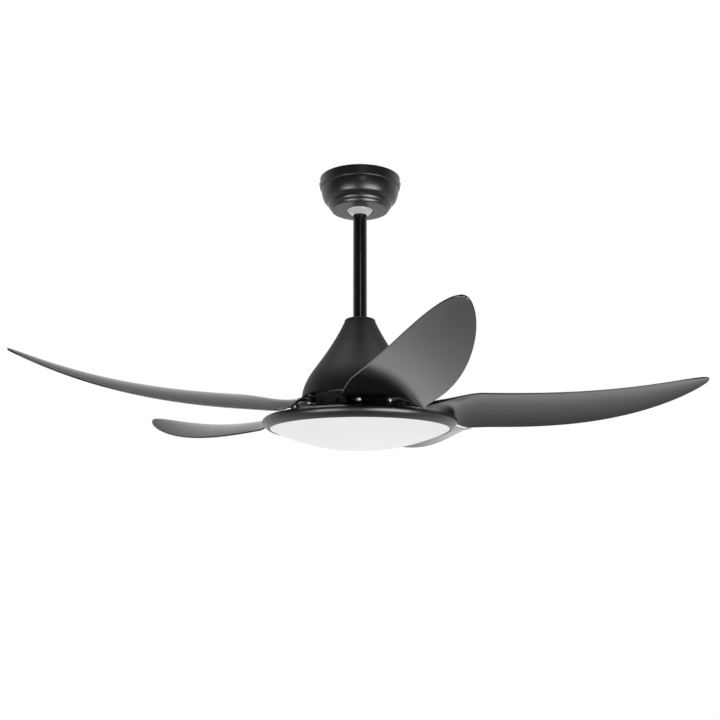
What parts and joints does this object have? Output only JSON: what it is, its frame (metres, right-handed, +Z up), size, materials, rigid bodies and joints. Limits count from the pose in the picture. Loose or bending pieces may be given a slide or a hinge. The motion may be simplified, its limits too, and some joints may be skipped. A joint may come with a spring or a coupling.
{
  "type": "ceiling fan with light",
  "caption": "Satin black ceiling fan: curved pitched blades on a motor with a flared cover, hung by a ball on a short downrod, with a flat opal LED light below.",
  "frame": {"origin": "on the ceiling plane, on the downrod's axis, midway between the bracket's two ceiling slots", "axes": "+Z up into the ceiling; +X along the line of the two ceiling slots; the blades turn about Z"},
  "size_m": [1.1358, 1.1549, 0.509],
  "materials": {
    "zinc_steel": "zinc plated",
    "black_enamel": "satin black",
    "black_shell": "satin black",
    "black_blade": "satin black",
    "white_nylon": "moulded",
    "grey_case": "fine texture",
    "white_moulding": "moulded",
    "green_screw": "green passivated",
    "black_oxide": "black oxide",
    "ground_steel": "ground",
    "cast_aluminium": "die cast",
    "lamination": "stacked laminations",
    "copper_wire": "enamelled",
    "circuit_board": "solder mask",
    "magnet": "sintered",
    "brown_nylon": "moulded",
    "white_board": "white solder mask",
    "led_phosphor": "phosphor",
    "wire_sleeve": "sleeved",
    "opal": "opal"
  },
  "bodies": {
    "ceiling_mount": {"hanging_bracket": "zinc_steel", "canopy": "black_enamel", "canopy_screws": "black_enamel", "remote_receiver": "grey_case", "receiver_screws": "zinc_steel", "terminal_block": "white_moulding", "earth_screw": "green_screw"},
    "hanging_frame": {"hanger_ball": "white_nylon", "ball_cross_pin": "zinc_steel", "ball_set_screw": "black_oxide", "downrod": "black_enamel", "shaft_coupler": "zinc_steel", "coupler_pin": "zinc_steel", "cotter_clip": "zinc_steel", "coupler_set_screws": "black_oxide", "motor_housing": "black_shell", "housing_screws": "zinc_steel", "motor_shaft": "ground_steel", "stator_hub": "cast_aluminium", "stator_core": "lamination", "stator_windings": "copper_wire", "motor_board": "circuit_board", "upper_bearing_inner_ring": "ground_steel", "lower_bearing_inner_ring": "ground_steel", "bearing_spacer": "zinc_steel", "light_mount_plate": "zinc_steel", "shaft_nut": "zinc_steel", "light_housing": "black_enamel", "light_housing_screws": "zinc_steel", "led_driver": "white_moulding", "led_board": "white_board", "led_board_screws": "zinc_steel", "led_chips": "led_phosphor", "wiring_harness": "wire_sleeve", "harness_plug": "white_moulding"},
    "coupling_cover": {"coupling_cover": "black_shell"},
    "rotor": {"rotor_can": "cast_aluminium", "rotor_magnets": "magnet", "rotor_screws": "zinc_steel", "blade_carrier": "black_shell", "upper_bearing_outer_ring": "ground_steel", "lower_bearing_outer_ring": "ground_steel", "blade_1": "black_blade", "blade_2": "black_blade", "blade_3": "black_blade", "blade_4": "black_blade", "blade_5": "black_blade", "blade_screws": "zinc_steel", "blade_washers": "zinc_steel"},
    "upper_bearing_cage": {"upper_bearing_cage": "brown_nylon", "upper_bearing_balls": "ground_steel"},
    "lower_bearing_cage": {"lower_bearing_cage": "brown_nylon", "lower_bearing_balls": "ground_steel"},
    "diffuser": {"diffuser": "opal"}
  },
  "joints": [
    {"name": "hanger_tilt", "type": "hinge", "parent": "ceiling_mount", "child": "hanging_frame", "pos_m": [0, 0, -0.046], "axis": [1, 0, 0], "range_deg": [-15, 15]},
    {"name": "rotor_spin", "type": "hinge", "parent": "hanging_frame", "child": "rotor", "pos_m": [0, 0, -0.427], "axis": [0, 0, 1], "continuous": true},
    {"name": "upper_cage_spin", "type": "hinge", "parent": "hanging_frame", "child": "upper_bearing_cage", "pos_m": [0, 0, -0.37], "axis": [0, 0, 1], "continuous": true},
    {"name": "lower_cage_spin", "type": "hinge", "parent": "hanging_frame", "child": "lower_bearing_cage", "pos_m": [0, 0, -0.431], "axis": [0, 0, 1], "continuous": true},
    {"name": "cover_slide", "type": "slide", "parent": "hanging_frame", "child": "coupling_cover", "axis": [0, 0, 1], "range_m": [0, 0.15]},
    {"name": "diffuser_twist", "type": "hinge", "parent": "hanging_frame", "child": "diffuser", "pos_m": [0, 0, -0.474], "axis": [0, 0, 1], "range_deg": [0, 20]}
  ],
  "couplings": [
    {"joint": "upper_cage_spin", "follows": "rotor_spin", "ratio": 0.5923},
    {"joint": "lower_cage_spin", "follows": "rotor_spin", "ratio": 0.5923}
  ]
}
